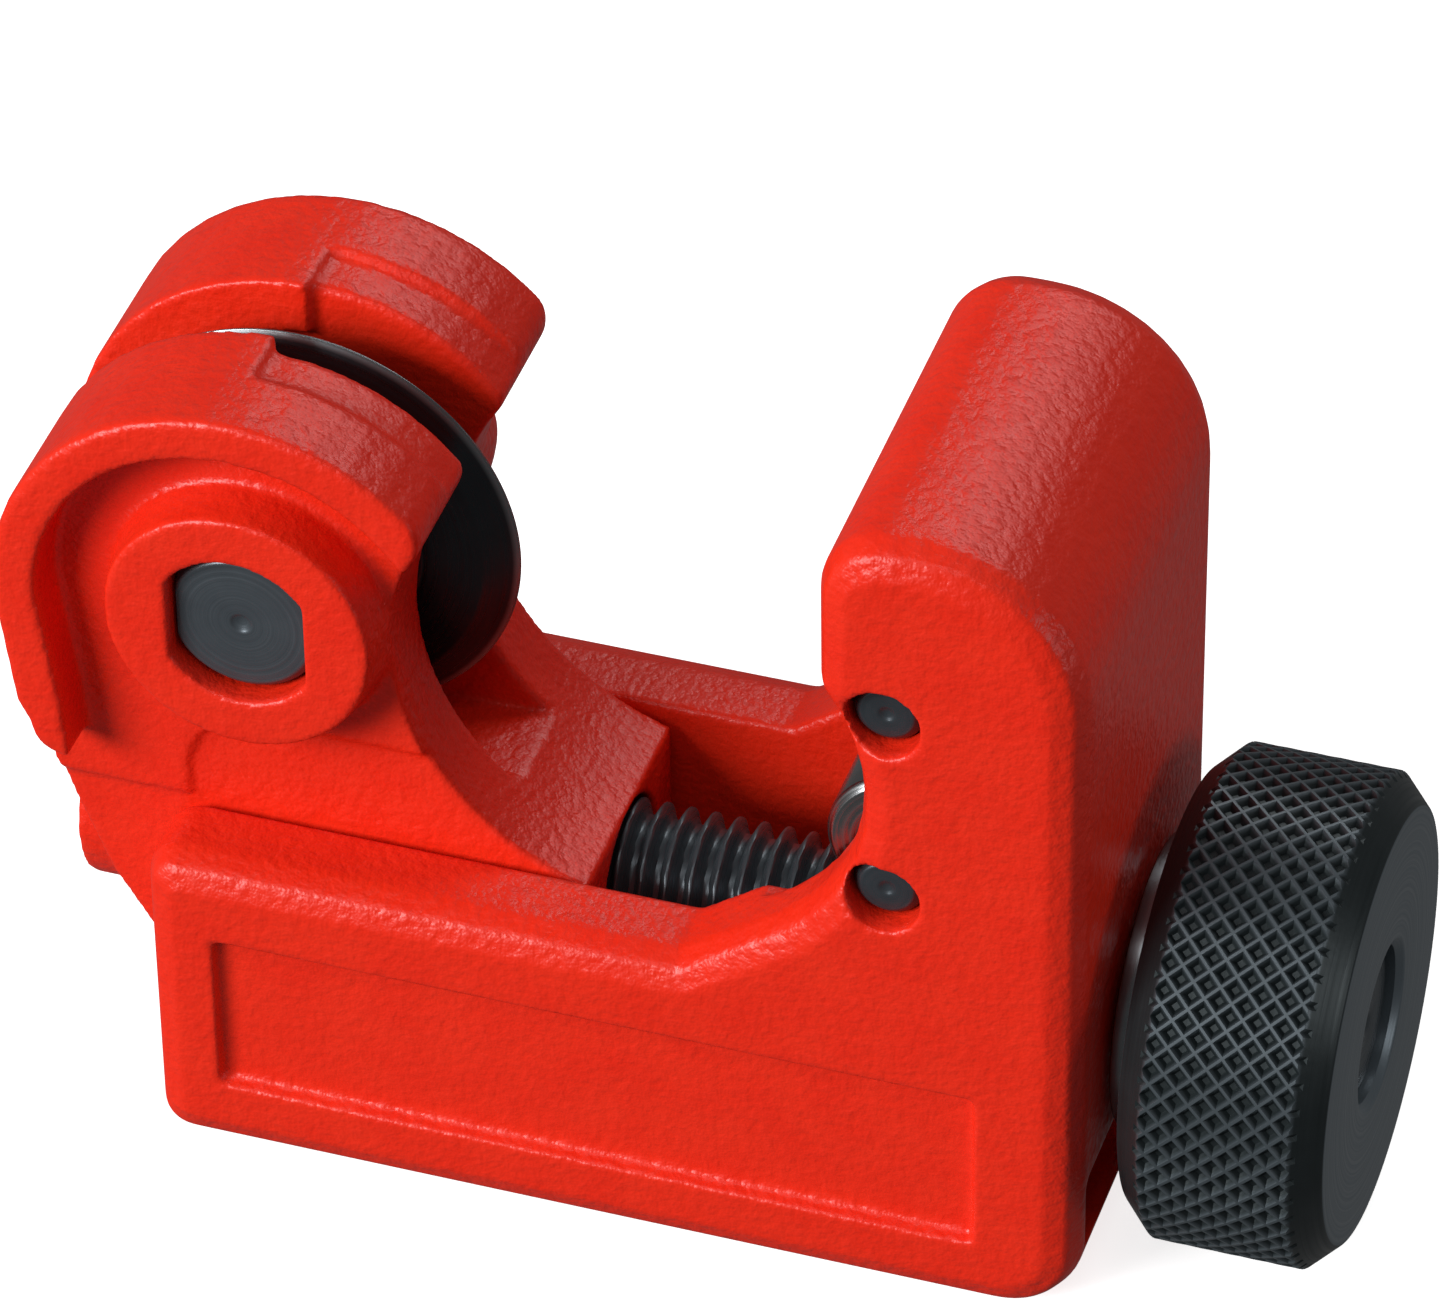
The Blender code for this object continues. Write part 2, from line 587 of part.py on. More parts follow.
def axle_clip(material):
    inner = AXLE_FLATS / 2 - AXLE_GROOVE_DEPTH + CLIP_SEAT
    outer = AXLE_DIA / 2 + CLIP_BAND - SLIDE_GAP
    made = open_ring("axle_clip", inner, outer, axle_clip_start(), CLIP_THICKNESS,
                     Vector((WHEEL_X, 0, WHEEL_Z)), Y_AXIS)
    made.data.materials.append(material)
    return made


# ---------------------------------------------------------------- feed screw and knob
def feed_screw(material):
    core = SCREW_R - CLIP_GROOVE_DEPTH
    low, high = CLIP_X - CLIP_PLAY, CLIP_X + CLIP_THICKNESS + CLIP_PLAY
    end = KNOB_END - KNOB_RECESS
    profile = [
        (0, -SCREW_TAIL), (SCREW_R - SCREW_CHAMFER, -SCREW_TAIL),
        (SCREW_R, -SCREW_TAIL + SCREW_CHAMFER), (SCREW_R, low), (core, low), (core, high),
        (SCREW_R, high), (SCREW_R, end), (0, end),
    ]
    centre = Vector((0, 0, SCREW_HEIGHT))
    made = turned("feed_screw", profile, centre, X_AXIS, SMALL_STEPS)
    put_origin(made, centre)
    made.data.materials.append(material)
    return made


def screw_clip(material):
    inner = SCREW_R - CLIP_GROOVE_DEPTH + CLIP_SEAT
    made = open_ring("screw_clip", inner, CLIP_R, CLIP_X, CLIP_THICKNESS,
                     Vector((0, 0, SCREW_HEIGHT)), X_AXIS)
    put_origin(made, (CLIP_X, 0, SCREW_HEIGHT))
    made.data.materials.append(material)
    return made


def thrust_washer(material):
    bore = SCREW_R + SCREW_BORE_GAP
    edge = 0.15 * MM
    far = WASHER_X + WASHER_THICKNESS
    outer = WASHER_DIA / 2
    profile = [
        (bore, WASHER_X), (outer - edge, WASHER_X), (outer, WASHER_X + edge),
        (outer, far - edge), (outer - edge, far), (bore, far),
    ]
    made = turned("thrust_washer", profile, Vector((0, 0, SCREW_HEIGHT)), X_AXIS)
    put_origin(made, (WASHER_X, 0, SCREW_HEIGHT))
    made.data.materials.append(material)
    return made


def knob(material):
    """The knob's rim is a ring of shallow ridges between two chamfers."""
    bore = SCREW_R + SCREW_BORE_GAP
    outer = KNOB_DIA / 2
    profile = [
        (bore, KNOB_X), (outer - KNOB_CHAMFER, KNOB_X), (outer, KNOB_X + KNOB_CHAMFER),
        (outer, KNOB_END - KNOB_CHAMFER), (outer - KNOB_CHAMFER, KNOB_END), (bore, KNOB_END),
    ]
    centre = Vector((0, 0, SCREW_HEIGHT))
    made = turned("knob", profile, centre, X_AXIS, 2 * KNURL_RIDGES)
    for vert in made.data.vertices:
        spoke = Vector((0, vert.co.y, vert.co.z - SCREW_HEIGHT))
        turn = math.atan2(spoke.z, spoke.y) / math.tau * 2 * KNURL_RIDGES
        if spoke.length > outer - KNURL_DEPTH / 2 and round(turn) % 2:
            vert.co.yz = vert.co.yz - (spoke.normalized() * KNURL_DEPTH).yz
    put_origin(made, (KNOB_X, 0, SCREW_HEIGHT))
    made.data.materials.append(material)
    return made


def main():
    clear_scene()
    red_coat = make_material("red_powder_coat", (0.62, 0.025, 0.012), 0.38, 0.0)
    black_steel = make_material("black_oxide_steel", (0.022, 0.026, 0.03), 0.38, 0.9)
    wheel_steel = make_material("blued_tool_steel", (0.03, 0.036, 0.042), 0.3, 0.9)
    bare_steel = make_material("turned_steel", (0.45, 0.46, 0.47), 0.3, 1.0)
    spring_steel = make_material("spring_steel", (0.09, 0.095, 0.1), 0.35, 1.0)
    body_casting(red_coat)
    carriage_casting(red_coat)
    for place, height in ROLLER_HEIGHTS.items():
        roller(place, height, bare_steel)
        roller_pin(place, height, black_steel)
    cutting_wheel(wheel_steel)
    wheel_axle(black_steel)
    axle_clip(spring_steel)
    feed_screw(black_steel)
    screw_clip(spring_steel)
    thrust_washer(bare_steel)
    knob(black_steel)


main()
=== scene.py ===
# %% [markdown]
# # A screw-feed pipe cutter
# This little tool cuts copper tube. A red die-cast body holds two rollers, a red die-cast
# carriage holds a cutting wheel, and a black knurled knob on a screw pulls the two together
# round the tube. Each cell below makes one piece or one finish.

import json
import math

import bmesh
import bpy
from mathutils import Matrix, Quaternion, Vector


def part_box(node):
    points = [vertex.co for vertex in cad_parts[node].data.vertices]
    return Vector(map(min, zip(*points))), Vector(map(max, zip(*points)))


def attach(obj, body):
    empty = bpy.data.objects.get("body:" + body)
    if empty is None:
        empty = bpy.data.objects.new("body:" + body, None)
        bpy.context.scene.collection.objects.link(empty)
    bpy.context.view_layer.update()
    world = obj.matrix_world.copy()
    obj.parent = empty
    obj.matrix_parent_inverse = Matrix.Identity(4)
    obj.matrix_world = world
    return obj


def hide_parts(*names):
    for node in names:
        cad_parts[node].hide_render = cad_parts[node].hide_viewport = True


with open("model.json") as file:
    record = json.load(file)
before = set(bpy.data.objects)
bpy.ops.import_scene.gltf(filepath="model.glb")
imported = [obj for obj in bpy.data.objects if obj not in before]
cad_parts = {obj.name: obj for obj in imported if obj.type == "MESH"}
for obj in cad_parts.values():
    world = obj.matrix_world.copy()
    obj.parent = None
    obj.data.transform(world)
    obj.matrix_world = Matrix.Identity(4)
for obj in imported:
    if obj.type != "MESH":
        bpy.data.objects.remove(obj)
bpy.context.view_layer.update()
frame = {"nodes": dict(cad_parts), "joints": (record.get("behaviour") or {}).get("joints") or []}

MM = 0.001
joints = {joint["name"]: joint for joint in frame["joints"]}

# %% [markdown]
# Every size below is in metres and comes from the frame: the box of a CAD node or the axis of a
# joint. The wheel, the rollers and the feed screw turn about these axes.

# %% Axes and reference sizes
X_AXIS = Vector((1, 0, 0))
Y_AXIS = Vector((0, 1, 0))
Z_AXIS = Vector((0, 0, 1))

wheel_axis = Vector(joints["wheel_spin"]["pos_m"])
screw_axis = Vector(joints["knob_turn"]["pos_m"])
roller_axes = {
    "upper": Vector(joints["upper_roller_spin"]["pos_m"]),
    "lower": Vector(joints["lower_roller_spin"]["pos_m"]),
}
print("wheel axis in mm:", [round(value / MM, 2) for value in wheel_axis])

# %% [markdown]
# ## Camera
# The camera stands in front, a little to the right and well above the tool, with a long lens, as in
# a catalogue view. The long lens keeps parallel edges nearly parallel. It is made first.

# %% Camera
CAMERA_AZIMUTH = math.radians(18.67)
CAMERA_ELEVATION = math.radians(39.23)
CAMERA_ROLL = math.radians(-0.88)
CAMERA_DISTANCE = 342.05 * MM
CAMERA_AIM = Vector((0.83, -0.67, 22.9)) * MM
CAMERA_LENS = 223.3          # millimetres, on a 36 mm sensor


def make_camera():
    back = Vector((
        math.sin(CAMERA_AZIMUTH) * math.cos(CAMERA_ELEVATION),
        -math.cos(CAMERA_AZIMUTH) * math.cos(CAMERA_ELEVATION),
        math.sin(CAMERA_ELEVATION),
    ))
    data = bpy.data.cameras.new("catalogue_camera")
    data.lens = CAMERA_LENS
    data.sensor_width = 36.0
    data.clip_start, data.clip_end = 0.01, 20.0
    camera = bpy.data.objects.new("catalogue_camera", data)
    camera.location = CAMERA_AIM + back * CAMERA_DISTANCE
    camera.rotation_mode = "QUATERNION"
    camera.rotation_quaternion = Quaternion(back, CAMERA_ROLL) @ (-back).to_track_quat("-Z", "Y")
    bpy.context.scene.collection.objects.link(camera)
    bpy.context.scene.camera = camera
    return camera


make_camera()

# %% [markdown]
# ## Small helpers for materials
# Colours are written as sRGB hex values, which is how people read them, and turned to the linear
# values that Blender's shaders work in. One function adds a node with its settings and links.
# The Mix node has several sockets of one name, so its colour sockets are reached by their place.


# %% Material helpers
MIX_FACTOR, MIX_FROM, MIX_TO = 0, 6, 7      # inputs of a Mix node that mixes colours
MIX_RESULT = 2                              # its output
NOISE_LOW, NOISE_HIGH = 0.3, 0.7            # nearly all of a noise's values lie between these
NOISE_ROUGHNESS = 0.55


def colour(hex_text):
    """A linear RGBA colour from an sRGB hex value such as e23622."""
    parts = [int(hex_text[i:i + 2], 16) / 255 for i in (0, 2, 4)]
    linear = [p / 12.92 if p <= 0.04045 else ((p + 0.055) / 1.055) ** 2.4 for p in parts]
    return (*linear, 1.0)


def add(tree, kind, inputs=None, **settings):
    """Adds a node. inputs holds values, or the output sockets to link to."""
    made = tree.nodes.new(kind)
    for name, value in settings.items():
        setattr(made, name, value)
    for name, value in (inputs or {}).items():
        if isinstance(value, bpy.types.NodeSocket):
            tree.links.new(value, made.inputs[name])
        else:
            made.inputs[name].default_value = value
    return made


def new_material(name, **values):
    """A material with one Principled shader. values are the shader's own settings."""
    material = bpy.data.materials.new(name)
    material.use_nodes = True
    tree = material.node_tree
    shader = tree.nodes["Principled BSDF"]
    for label, value in values.items():
        shader.inputs[label.replace("_", " ")].default_value = value
    return material, tree, shader


# %% [markdown]
# ## Red powder coat
# Both castings are sprayed with dry red powder and baked. The powder melts into a tough, half
# gloss skin that never lies quite flat: it has a fine orange peel, about half a millimetre from
# lump to lump, over the slower waves of the die-cast metal below. The peel breaks each
# highlight into sparkling grains.


# %% Red powder coat
PEEL_SIZE = 0.42 * MM
PEEL_DEPTH = 0.09 * MM
WAVE_SIZE = 2.2 * MM
WAVE_DEPTH = 0.12 * MM


def red_powder_coat():
    material, tree, shader = new_material(
        "red_powder_coat_on_die_casting", Metallic=0.0, IOR=1.5, Specular_IOR_Level=0.36,
    )
    place = add(tree, "ShaderNodeTexCoord").outputs["Object"]
    peel, wave = [
        add(tree, "ShaderNodeTexNoise", {
            "Vector": place, "Scale": 1 / size, "Detail": 2.0, "Roughness": NOISE_ROUGHNESS,
        }).outputs["Fac"]
        for size in (PEEL_SIZE, WAVE_SIZE)
    ]
    tone = add(tree, "ShaderNodeMix", {
        MIX_FACTOR: wave, MIX_FROM: colour("ed3017"), MIX_TO: colour("e2220d"),
    }, data_type="RGBA").outputs[MIX_RESULT]
    gloss = add(tree, "ShaderNodeMapRange", {
        "Value": peel, "From Min": NOISE_LOW, "From Max": NOISE_HIGH, "To Min": 0.3, "To Max": 0.42,
    }).outputs["Result"]
    slow = add(tree, "ShaderNodeBump", {
        "Height": wave, "Strength": 0.4, "Distance": WAVE_DEPTH,
    }).outputs["Normal"]
    grainy = add(tree, "ShaderNodeBump", {
        "Height": peel, "Strength": 0.9, "Distance": PEEL_DEPTH, "Normal": slow,
    }).outputs["Normal"]
    tree.links.new(tone, shader.inputs["Base Color"])
    tree.links.new(gloss, shader.inputs["Roughness"])
    tree.links.new(grainy, shader.inputs["Normal"])
    return material


red_coat = red_powder_coat()

# %% [markdown]
# ## Turned steel finishes
# Everything round on this tool was made on a lathe. A lathe tool leaves fine rings round the
# axis on a face, so the finish needs the distance from that axis: the Mapping node moves the
# axis to the middle, and the length of the two coordinates across it feeds a one-dimensional
# noise. Real rings are a few hundredths of a millimetre apart, too fine to show, so they are
# drawn about five times coarser.


# %% Turned steel
RING_SPACING = 0.16 * MM
RING_DEPTH = 0.02 * MM
CLOUD_SIZE = 1.5 * MM        # lump to lump of the cloudy tones


def distance_from_axis(tree, axis_point, axis):
    """Distance of each surface point from an axis along X or Y."""
    place = add(tree, "ShaderNodeTexCoord").outputs["Object"]
    centred = add(tree, "ShaderNodeMapping", {
        "Vector": place, "Location": -Vector(axis_point),
    }).outputs["Vector"]
    keep = (0.0, 1.0, 1.0) if axis == X_AXIS else (1.0, 0.0, 1.0)
    across = add(tree, "ShaderNodeVectorMath", {0: centred, 1: keep}, operation="MULTIPLY")
    return add(tree, "ShaderNodeVectorMath", {0: across.outputs["Vector"]},
               operation="LENGTH").outputs["Value"]


def lathe_rings(tree, axis_point, axis):
    """A noise that changes only with the distance from the axis, as lathe rings do."""
    radius = distance_from_axis(tree, axis_point, axis)
    return add(tree, "ShaderNodeTexNoise", {
        "W": radius, "Scale": 1 / RING_SPACING, "Detail": 3.0,
    }, noise_dimensions="1D").outputs["Fac"]


def cloudy_tone(tree, light, dark):
    """Soft clouds of a light and a dark tone, as handled or blackened steel has."""
    place = add(tree, "ShaderNodeTexCoord").outputs["Object"]
    cloud = add(tree, "ShaderNodeTexNoise", {
        "Vector": place, "Scale": 1 / CLOUD_SIZE, "Detail": 4.0, "Roughness": NOISE_ROUGHNESS,
    }).outputs["Fac"]
    return add(tree, "ShaderNodeMix", {
        MIX_FACTOR: cloud, MIX_FROM: colour(light), MIX_TO: colour(dark),
    }, data_type="RGBA").outputs[MIX_RESULT]


def ringed(tree, shader, axis_point, axis, smooth, rough, strength):
    """Gives a shader lathe rings: they vary its roughness from smooth to rough, and its normal."""
    ring = lathe_rings(tree, axis_point, axis)
    gloss = add(tree, "ShaderNodeMapRange", {
        "Value": ring, "From Min": NOISE_LOW, "From Max": NOISE_HIGH,
        "To Min": smooth, "To Max": rough,
    }).outputs["Result"]
    grooved = add(tree, "ShaderNodeBump", {
        "Height": ring, "Strength": strength, "Distance": RING_DEPTH,
    }).outputs["Normal"]
    tree.links.new(gloss, shader.inputs["Roughness"])
    tree.links.new(grooved, shader.inputs["Normal"])


def turned_steel(name, light, dark, axis_point, axis, roughness, rings=0.5, metal=1.0):
    """Steel with rings round its axis, cloudy between a light and a dark tone."""
    material, tree, shader = new_material(name, Metallic=metal)
    tree.links.new(cloudy_tone(tree, light, dark), shader.inputs["Base Color"])
    ringed(tree, shader, axis_point, axis, roughness - 0.08, roughness + 0.1, rings)
    return material


bright_steel = ("a9abac", "86898b")          # light and dark tone
blackened_steel = ("50575c", "3f454a")
OXIDE_METAL = 0.55           # black oxide is a thin matt skin, so it is only half a metal

# %% [markdown]
# ## Small helpers for shapes
# A bmesh holds a shape while it is being made. These helpers turn a profile about an axis,
# soften the corners of a profile, and put the finished mesh in the scene on its body.


# %% Shape helpers
def softened(points, radius, steps=3):
    """The same open profile with each inner corner replaced by a small curve."""
    made = [Vector(points[0])]
    for before, corner, after in zip(points, points[1:], points[2:]):
        before, corner, after = Vector(before), Vector(corner), Vector(after)
        reach = min(radius, (before - corner).length * 0.45, (after - corner).length * 0.45)
        start = corner + (before - corner).normalized() * reach
        end = corner + (after - corner).normalized() * reach
        for i in range(steps + 1):
            t = i / steps
            made.append(start * (1 - t) ** 2 + corner * 2 * t * (1 - t) + end * t ** 2)
    made.append(Vector(points[-1]))
    return made


def turned(profile, axis_point, axis, steps=96):
    """A bmesh of a turned solid. profile lists (radius, place along the axis)."""
    bm = bmesh.new()
    side = Z_AXIS
    centre = axis_point - axis * axis_point.dot(axis)
    verts = [bm.verts.new(centre + side * r + axis * d) for r, d in profile]
    edges = [bm.edges.new(pair) for pair in zip(verts, verts[1:])]
    if min(r for r, _ in profile) > 0:
        edges.append(bm.edges.new((verts[-1], verts[0])))
    bmesh.ops.spin(bm, geom=verts + edges, cent=centre, axis=axis, angle=math.tau,
                   steps=steps, use_merge=True)
    bmesh.ops.remove_doubles(bm, verts=bm.verts, dist=1e-7)
    bmesh.ops.recalc_face_normals(bm, faces=bm.faces)
    return bm


def finished(name, bm, body, material, replaces=None, sharp=30):
    """Makes the bmesh an object that rides on its body."""
    mesh = bpy.data.meshes.new(name)
    bm.to_mesh(mesh)
    bm.free()
    mesh.shade_smooth()
    mesh.set_sharp_from_angle(angle=math.radians(sharp))
    piece = bpy.data.objects.new(name, mesh)
    bpy.context.scene.collection.objects.link(piece)
    mesh.materials.append(material)
    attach(piece, body)
    if replaces:
        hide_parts(replaces)
    print(name, len(mesh.polygons), "faces")
    return piece


# %% [markdown]
# ## Castings
# A die casting has no sharp edge anywhere: every corner is rounded by the mould and again by the
# paint. Rounding each edge of so busy a shape one by one is slow. Instead a copy of the plain
# solid is remeshed into small even faces, and those are smoothed: that rolls every outer edge
# and fills every inner corner by a few tenths of a millimetre, as paint and mould do.


# %% Casting helper
CAST_VOXEL = 0.16 * MM
CAST_SMOOTHING = 9
CAST_LIMIT = 190000          # triangles


def draft(name, bm):
    """A hidden working object made from a bmesh."""
    mesh = bpy.data.meshes.new(name)
    bm.to_mesh(mesh)
    bm.free()
    made = bpy.data.objects.new(name, mesh)
    bpy.context.scene.collection.objects.link(made)
    return made


def evaluated(piece):
    """A bmesh of a piece with its modifiers applied."""
    bpy.context.view_layer.update()
    graph = bpy.context.evaluated_depsgraph_get()
    mesh = bpy.data.meshes.new_from_object(piece.evaluated_get(graph))
    bm = bmesh.new()
    bm.from_mesh(mesh)
    bpy.data.meshes.remove(mesh)
    return bm


def merged_copy(node):
    """A bmesh of a CAD node with its loose triangles joined up."""
    bm = bmesh.new()
    bm.from_mesh(frame["nodes"][node].data)
    bmesh.ops.remove_doubles(bm, verts=bm.verts, dist=1e-7)
    return bm


def casting(node, name, body):
    """A softened copy of a CAD casting, on its body."""
    rough = draft(name + "_draft", merged_copy(node))
    remesh = rough.modifiers.new("even_faces", "REMESH")
    remesh.mode = "VOXEL"
    remesh.voxel_size = CAST_VOXEL
    soften = rough.modifiers.new("soften", "SMOOTH")
    soften.factor = 0.5
    soften.iterations = CAST_SMOOTHING
    even = evaluated(rough)
    share = CAST_LIMIT / (2 * len(even.faces))
    print(name, len(even.faces), "quads, of which a share of", round(min(1, share), 2), "is kept")
    if share < 1:
        even.free()
        thin = rough.modifiers.new("thin_out", "DECIMATE")
        thin.ratio = share
        even = evaluated(rough)
    bpy.data.objects.remove(rough)
    return finished(name, even, body, red_coat, node, sharp=180)


# %% Body casting
casting("body_casting", "body_shell", "frame")

# %% Carriage casting
casting("carriage_casting", "carriage_shell", "carriage")

# %% [markdown]
# ## Rollers and their pins
# The tube turns on two steel rollers. Each is a turned tube with a V groove in the middle, which
# leaves room for the cutting wheel, and it spins on a blackened steel pin pressed into the
# body. The pins' ends are chamfered so that they start in their holes, and a lathe centre has
# left a small dimple in each end.

# %% Rollers
ROLLER_GROOVE_WIDTH = 1.6 * MM
ROLLER_GROOVE_DEPTH = 0.6 * MM
ROLLER_LIP = 0.3 * MM
GROOVE_FLOOR = 0.1 * MM      # half width of the flat at the bottom of the groove
RUN_GAP = 0.1 * MM           # radial gap between a roller and its pin
PIN_CHAMFER = 0.35 * MM
PIN_DIMPLE = 0.35 * MM       # radius of the lathe centre's mark
DIMPLE_SLOPE = 0.6           # depth of such a mark in its radii
roller_bodies = {"upper": "top_roller", "lower": "bottom_roller"}


def mirrored(half):
    """A whole profile from the half of it between the widest place and the middle plane."""
    return half + [(r, -d) for r, d in reversed(half)]


def make_roller(place, pin_radius):
    low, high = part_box(place + "_roller")
    radius, half = (high.z - low.z) / 2, (high.y - low.y) / 2
    bore = pin_radius + RUN_GAP
    groove = ROLLER_GROOVE_WIDTH / 2
    side = [(bore, -half), (radius - ROLLER_LIP, -half), (radius, -half + ROLLER_LIP)]
    side += [(radius, -groove), (radius - ROLLER_GROOVE_DEPTH, -GROOVE_FLOOR)]
    bm = turned(softened(mirrored(side), 0.1 * MM), roller_axes[place], Y_AXIS)
    steel = turned_steel("turned_bright_steel_" + place, *bright_steel, roller_axes[place],
                         Y_AXIS, 0.24)
    name = place + "_guide_roller"
    finished(name, bm, roller_bodies[place], steel, place + "_roller")


def make_pin(place):
    """Makes the pin and returns its radius, which the roller's bore is made to."""
    low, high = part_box(place + "_roller_pin")
    radius, half = (high.z - low.z) / 2, (high.y - low.y) / 2
    side = [(0, -half + PIN_DIMPLE * DIMPLE_SLOPE), (PIN_DIMPLE, -half)]
    side += [(radius - PIN_CHAMFER, -half), (radius, -half + PIN_CHAMFER)]
    bm = turned(softened(mirrored(side), 0.08 * MM), roller_axes[place], Y_AXIS, steps=64)
    steel = turned_steel("blackened_pin_steel_" + place, "484f55", "3a4045", roller_axes[place],
                         Y_AXIS, 0.3, metal=OXIDE_METAL)
    finished(place + "_pin", bm, "frame", steel, place + "_roller_pin")
    return radius


for place in roller_axes:
    make_roller(place, make_pin(place))

# %% [markdown]
# ## Cutting wheel
# The wheel is a disc of hardened and blackened tool steel with a thick hub. Only its edge is
# ground, to a slim wedge on each side. The very edge is painted brighter, for ground metal and for
# a painted highlight along the sharp edge. A turned profile with many steps keeps the edge truly
# round.

# %% Cutting wheel
WHEEL_BORE = 3.25 * MM
WHEEL_HUB = 4.8 * MM
WHEEL_WEB = 1.0 * MM         # half thickness
WHEEL_WEDGE = 1.3 * MM       # radial width of the sharpened edge
WHEEL_STEP = 0.4 * MM        # slope from the hub down to the web
WHEEL_TIP = 0.03 * MM        # half thickness of the very edge
GROUND_AND_HIGHLIGHT_START = 0.3 * MM      # the brighter edge, ground metal and painted highlight, starts this far in from the edge
GROUND_AND_HIGHLIGHT_FULL = 0.12 * MM


def wheel_steel(radius):
    material, tree, shader = new_material("blackened_tool_steel_with_ground_and_highlit_edge", Metallic=0.8)
    reach = distance_from_axis(tree, wheel_axis, Y_AXIS)
    # Painted highlight: the band at the very edge is painted brighter, for ground metal and for the
    # light the sharp edge catches.
    ground_and_highlit_edge = add(tree, "ShaderNodeMapRange", {
        "Value": reach, "From Min": radius - GROUND_AND_HIGHLIGHT_START, "From Max": radius - GROUND_AND_HIGHLIGHT_FULL,
    }).outputs["Result"]
    dark = cloudy_tone(tree, "353b3f", "2a2f33")
    tone = add(tree, "ShaderNodeMix", {
        MIX_FACTOR: ground_and_highlit_edge, MIX_FROM: dark, MIX_TO: colour("7c8386"),
    }, data_type="RGBA").outputs[MIX_RESULT]
    tree.links.new(tone, shader.inputs["Base Color"])
    ringed(tree, shader, wheel_axis, Y_AXIS, 0.24, 0.4, 0.2)
    return material


def make_wheel():
    low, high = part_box("cutting_wheel")
    radius, half = (high.z - low.z) / 2, (high.y - low.y) / 2
    side = [(WHEEL_BORE, -half), (WHEEL_HUB, -half), (WHEEL_HUB + WHEEL_STEP, -WHEEL_WEB)]
    side += [(radius - WHEEL_WEDGE, -0.7 * WHEEL_WEB), (radius, -WHEEL_TIP)]
    bm = turned(softened(mirrored(side), 0.06 * MM), wheel_axis, Y_AXIS, steps=160)
    finished("sharp_wheel", bm, "wheel", wheel_steel(radius), "cutting_wheel")


make_wheel()

# %% [markdown]
# ## Wheel axle and its clip
# The axle is a round bar with a flat milled on each side, so it cannot turn in the cheeks while
# the wheel turns on it. It is turned first and then two planes cut its sides off, as a milling
# cutter would. A C-shaped spring clip in a groove keeps it in.

# %% Axle and clip
AXLE_CHAMFER = 0.3 * MM
AXLE_DIMPLE = 0.45 * MM
AXLE_GROOVE_FLOOR = 2.3 * MM
CLIP_PLAY = 0.2 * MM         # gap on each side of a clip in its groove
CLIP_EASE = 0.06 * MM        # bevel on a clip's sheared edges
PHOSPHATE_GRAIN = 0.25 * MM  # the real grain is too fine to show, so it is drawn coarser



def milled_flat(bm, axis_point, half_width, side):
    """Cuts everything beyond half_width off one side and closes the cut."""
    geometry = bm.verts[:] + bm.edges[:] + bm.faces[:]
    cut = bmesh.ops.bisect_plane(
        bm, geom=geometry, plane_co=axis_point + X_AXIS * side * half_width,
        plane_no=X_AXIS * side, clear_outer=True,
    )
    edges = [e for e in cut["geom_cut"] if isinstance(e, bmesh.types.BMEdge)]
    bmesh.ops.holes_fill(bm, edges=edges, sides=0)


def make_axle():
    low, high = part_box("wheel_axle")
    clip_low, clip_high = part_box("axle_clip")
    radius, flat = (high.z - low.z) / 2, (high.x - low.x) / 2
    groove = (clip_low.y - CLIP_PLAY, clip_high.y + CLIP_PLAY)
    dimple = AXLE_DIMPLE * DIMPLE_SLOPE
    profile = [
        (0, low.y + dimple), (AXLE_DIMPLE, low.y), (radius - AXLE_CHAMFER, low.y),
        (radius, low.y + AXLE_CHAMFER), (radius, groove[0]), (AXLE_GROOVE_FLOOR, groove[0]),
        (AXLE_GROOVE_FLOOR, groove[1]), (radius, groove[1]), (radius, high.y - AXLE_CHAMFER),
        (radius - AXLE_CHAMFER, high.y), (AXLE_DIMPLE, high.y), (0, high.y - dimple),
    ]
    bm = turned(softened(profile, 0.07 * MM), wheel_axis, Y_AXIS)
    for side in (-1, 1):
        milled_flat(bm, wheel_axis, flat, side)
    steel = turned_steel("blackened_axle_steel", "5a6268", "4b5258", wheel_axis, Y_AXIS, 0.36, 0.8,
                         OXIDE_METAL)
    finished("flatted_axle", bm, "carriage", steel, "wheel_axle")


def spring_steel():
    material, tree, shader = new_material("phosphated_spring_steel", Metallic=1.0)
    place = add(tree, "ShaderNodeTexCoord").outputs["Object"]
    grain = add(tree, "ShaderNodeTexNoise", {
        "Vector": place, "Scale": 1 / PHOSPHATE_GRAIN, "Detail": 3.0, "Roughness": NOISE_ROUGHNESS,
    }).outputs["Fac"]
    tone = add(tree, "ShaderNodeMix", {
        MIX_FACTOR: grain, MIX_FROM: colour("6b6f72"), MIX_TO: colour("54585b"),
    }, data_type="RGBA").outputs[MIX_RESULT]
    gloss = add(tree, "ShaderNodeMapRange", {
        "Value": grain, "From Min": NOISE_LOW, "From Max": NOISE_HIGH, "To Min": 0.3, "To Max": 0.5,
    }).outputs["Result"]
    tree.links.new(tone, shader.inputs["Base Color"])
    tree.links.new(gloss, shader.inputs["Roughness"])
    return material


clip_steel = spring_steel()


def make_clip(node, name, body):
    """A CAD clip with the sheared edges of a stamping eased by a small bevel."""
    bm = merged_copy(node)
    bmesh.ops.dissolve_limit(bm, angle_limit=math.radians(1), verts=bm.verts, edges=bm.edges)
    rims = [e for e in bm.edges if e.calc_face_angle(0) > math.radians(40)]
    bmesh.ops.bevel(bm, geom=rims, offset=CLIP_EASE, segments=2, profile=0.5, affect="EDGES",
                    clamp_overlap=True, material=-1)
    finished(name, bm, body, clip_steel, node, sharp=45)


make_axle()
make_clip("axle_clip", "axle_spring_clip", "carriage")
make_clip("screw_clip", "screw_spring_clip", "feed")

